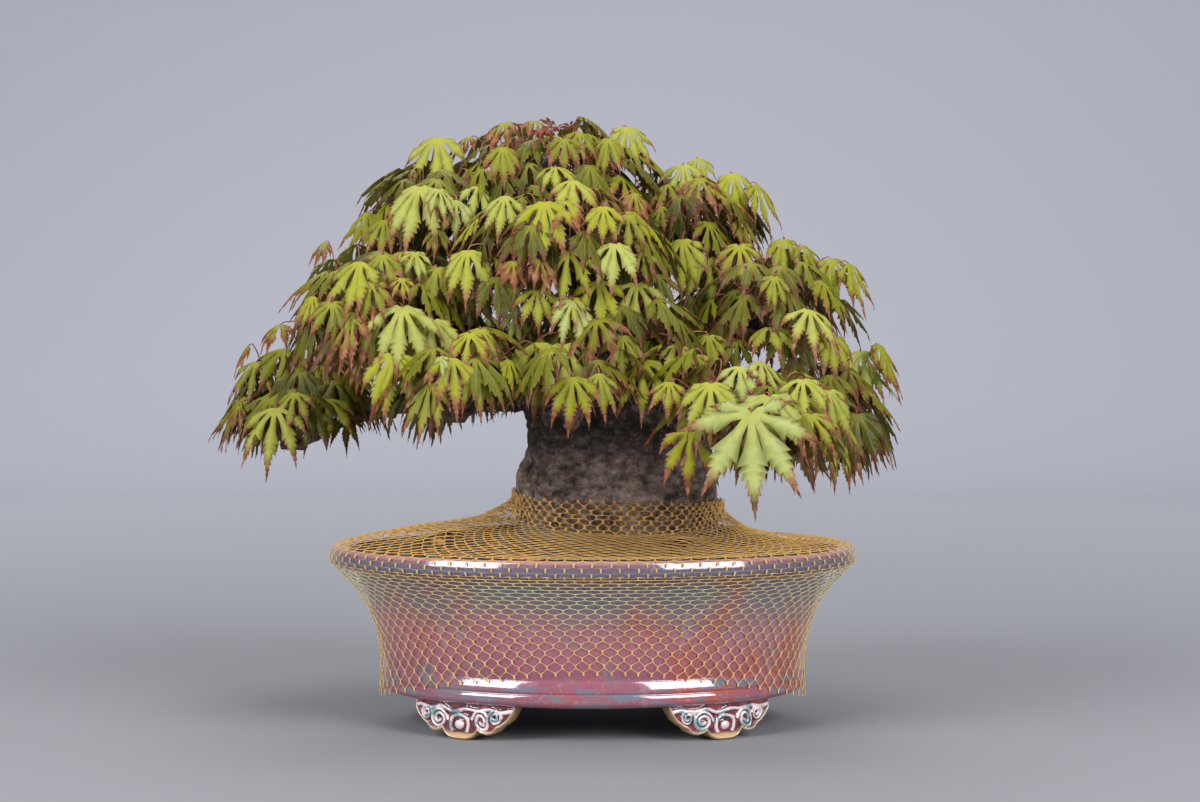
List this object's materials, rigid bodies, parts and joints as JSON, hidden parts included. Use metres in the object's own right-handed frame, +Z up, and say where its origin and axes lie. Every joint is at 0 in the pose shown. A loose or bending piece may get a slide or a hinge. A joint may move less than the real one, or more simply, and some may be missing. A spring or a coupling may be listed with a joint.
{
  "type": "potted bonsai tree",
  "caption": "Japanese maple bonsai with a thick trunk and a dome of drooping, deeply cut leaves, in a glazed oval pot on cloud feet with a fine net over the soil",
  "frame": {"origin": "on the ground under the middle of the whole tree, leaves included", "axes": "+X along the long side of the oval pot, to the right as the picture shows it; the side that the picture shows faces -Y; +Z up"},
  "size_m": [0.3248, 0.2714, 0.2771],
  "materials": {
    "glaze": "glossy mottled plum and grey-blue glaze, bare ochre clay under the feet",
    "akadama": "coarse granular soil",
    "bark": "dark fissured bark",
    "leaf": "satin yellow-green leaves with reddish edges, on thin twigs",
    "net_cord": "thin tan net yarn",
    "screen_plastic": "matte black grid"
  },
  "bodies": {
    "root": {"drain_screen_left": "screen_plastic", "drain_screen_right": "screen_plastic", "net": "net_cord", "pad_back_left": "leaf", "pad_back_right": "leaf", "pad_crown": "leaf", "pad_crown_back": "leaf", "pad_crown_front": "leaf", "pad_crown_left": "leaf", "pad_crown_right": "leaf", "pad_front": "leaf", "pad_front_left": "leaf", "pad_front_right": "leaf", "pad_left_back": "leaf", "pad_left_front": "leaf", "pad_left_low": "leaf", "pad_middle": "leaf", "pad_right_back": "leaf", "pad_right_low": "leaf", "pad_right_mid": "leaf", "pot": "glaze", "soil": "akadama", "trunk": "bark"}
  },
  "joints": []
}
